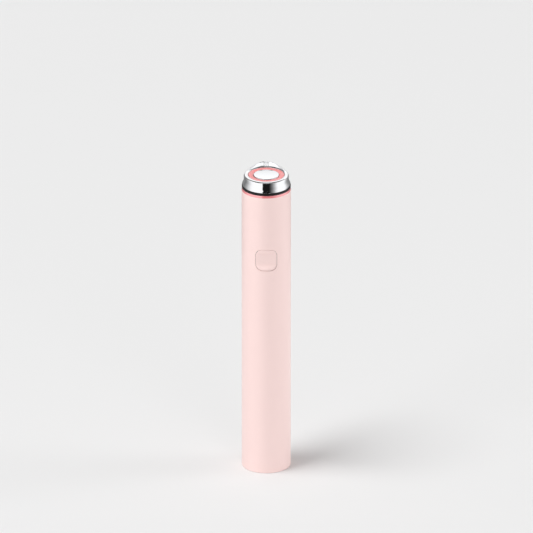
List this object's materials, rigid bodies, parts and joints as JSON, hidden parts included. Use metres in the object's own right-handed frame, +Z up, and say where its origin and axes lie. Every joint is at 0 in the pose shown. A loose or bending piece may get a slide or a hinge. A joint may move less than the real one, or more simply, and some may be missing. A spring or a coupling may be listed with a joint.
{
  "type": "skin booster device",
  "caption": "Slim round beauty wand that stands upright, with a flush dished push button, a chromed head with a light ring round a metal tip, and a charging port in its base.",
  "frame": {"origin": "centre of the flat base", "axes": "+Z up along the body to the head, -Y towards the push button, +Y towards the head's raised lobe"},
  "size_m": [0.023, 0.023, 0.1499],
  "materials": {
    "pearl_pink_metal": "satin pearl",
    "pink_plastic": "fine matte",
    "button_pink": "satin pearl",
    "chrome": "polished",
    "coral_diffuser": "frosted",
    "black_plastic": "satin",
    "black_rubber": "matte",
    "white_plastic": "moulded",
    "grey_plastic": "moulded",
    "grey_foam": "open foam",
    "grey_parts": "sintered",
    "socket_steel": "bright",
    "brass": "bright",
    "copper_winding": "enamelled",
    "circuit_board": "solder mask",
    "cell_sleeve": "shrink sleeve",
    "wire_sleeve": "smooth",
    "lamp_white": "clear lens"
  },
  "bodies": {
    "body": {"body_tube": "pearl_pink_metal", "end_cap": "pink_plastic", "usb_shell": "socket_steel", "usb_tongue": "black_plastic", "charge_board": "circuit_board", "charge_parts": "black_plastic", "chassis": "white_plastic", "battery_cell": "cell_sleeve", "battery_tabs": "socket_steel", "battery_pad": "grey_foam", "battery_leads": "wire_sleeve", "charge_leads": "wire_sleeve", "main_board": "circuit_board", "main_chip": "black_plastic", "board_parts": "grey_parts", "board_screws": "socket_steel", "transformer_core": "grey_parts", "transformer_coil": "copper_winding", "switch_body": "black_plastic", "button_guide": "grey_plastic", "motor_can": "socket_steel", "motor_sleeve": "black_rubber", "motor_leads": "wire_sleeve", "head_base": "grey_plastic", "head_screws": "socket_steel", "head_seal": "black_rubber", "insulator_ring": "black_plastic", "head_collar": "chrome", "light_ring": "coral_diffuser", "centre_electrode": "chrome", "light_board": "circuit_board", "ring_lamps": "lamp_white", "collar_contact": "brass", "centre_contact": "brass", "contact_lead": "wire_sleeve", "head_cable": "white_plastic"},
    "button": {"button_cap": "button_pink", "switch_plunger": "white_plastic"},
    "rotor": {"motor_shaft": "socket_steel", "motor_weight": "brass"}
  },
  "joints": [
    {"name": "button_press", "type": "slide", "parent": "body", "child": "button", "axis": [0, 1, 0], "range_m": [0, 0.0004], "stiffness_N_per_m": 400},
    {"name": "motor_spin", "type": "hinge", "parent": "body", "child": "rotor", "pos_m": [0, 0.0026, 0.1057], "axis": [0, 0, 1], "continuous": true}
  ]
}
